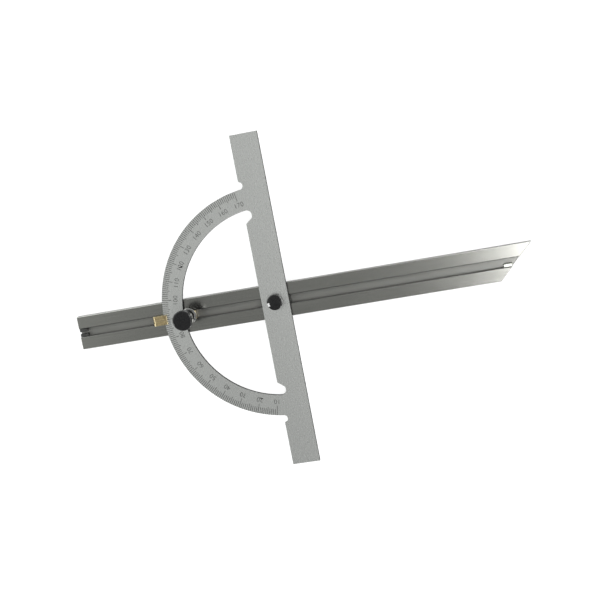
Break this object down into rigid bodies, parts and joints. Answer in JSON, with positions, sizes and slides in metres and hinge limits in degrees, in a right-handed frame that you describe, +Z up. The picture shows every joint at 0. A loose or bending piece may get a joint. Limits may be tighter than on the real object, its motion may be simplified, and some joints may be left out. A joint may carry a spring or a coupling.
{
  "type": "arc protractor with sliding rail",
  "caption": "Flat steel beam with a half-circle degree band, swivelling and sliding on a grooved steel rail, clamped by black knobs.",
  "frame": {"origin": "on the rail's underside, on the pivot axis at rest", "axes": "+X along the rail to its 45 degree tip, +Y along the beam to the 170 degree end of the scale, +Z up off the rest face"},
  "size_m": [0.2998, 0.2171, 0.0255],
  "materials": {
    "satin_steel": "satin chromed, fine matt grain",
    "ground_steel": "ground along its length",
    "blackened_steel": "black oxide",
    "spring_steel": "bright",
    "brass": "machined, slightly tarnished",
    "black_plastic": "glossy moulded"
  },
  "bodies": {
    "rail": {"rail": "ground_steel", "end_stop_key_upper": "blackened_steel", "end_stop_key_lower": "blackened_steel", "tip_stop_key": "ground_steel"},
    "carriage": {"pivot_nut": "ground_steel", "pivot_nut_spring": "spring_steel", "pivot_stud": "ground_steel", "pivot_bush": "brass", "index_block": "brass", "index_block_spring": "spring_steel", "clamp_stud": "ground_steel", "clamp_collar": "ground_steel"},
    "protractor": {"protractor_plate": "satin_steel"},
    "pivot_washers": {"pivot_washer": "spring_steel", "pivot_wave_washer": "spring_steel"},
    "pivot_knob": {"pivot_knob": "black_plastic", "pivot_knob_insert": "brass"},
    "clamp_washers": {"clamp_washer": "spring_steel", "clamp_wave_washer": "spring_steel"},
    "clamp_knob": {"clamp_knob": "black_plastic", "clamp_knob_insert": "brass"}
  },
  "joints": [
    {"name": "rail_slide", "type": "slide", "parent": "rail", "child": "carriage", "axis": [1, 0, 0], "range_m": [-0.0465, 0.1365]},
    {"name": "arc_swivel", "type": "hinge", "parent": "carriage", "child": "protractor", "pos_m": [0, 0, 0.0063], "axis": [0, 0, 1], "range_deg": [-80, 80]},
    {"name": "pivot_washer_lift", "type": "slide", "parent": "carriage", "child": "pivot_washers", "axis": [0, 0, 1], "range_m": [0, 0.0005]},
    {"name": "pivot_knob_turn", "type": "hinge", "parent": "pivot_washers", "child": "pivot_knob", "pos_m": [0, 0, 0.01], "axis": [0, 0, 1], "range_deg": [0, 360]},
    {"name": "clamp_washer_lift", "type": "slide", "parent": "carriage", "child": "clamp_washers", "axis": [0, 0, 1], "range_m": [0, 0.00075]},
    {"name": "clamp_knob_turn", "type": "hinge", "parent": "clamp_washers", "child": "clamp_knob", "pos_m": [-0.0582, 0, 0.016], "axis": [0, 0, 1], "range_deg": [0, 540]}
  ],
  "couplings": [
    {"joint": "pivot_knob_turn", "follows": "pivot_washer_lift", "rad_per_m": 12566},
    {"joint": "clamp_knob_turn", "follows": "clamp_washer_lift", "rad_per_m": 12566}
  ]
}
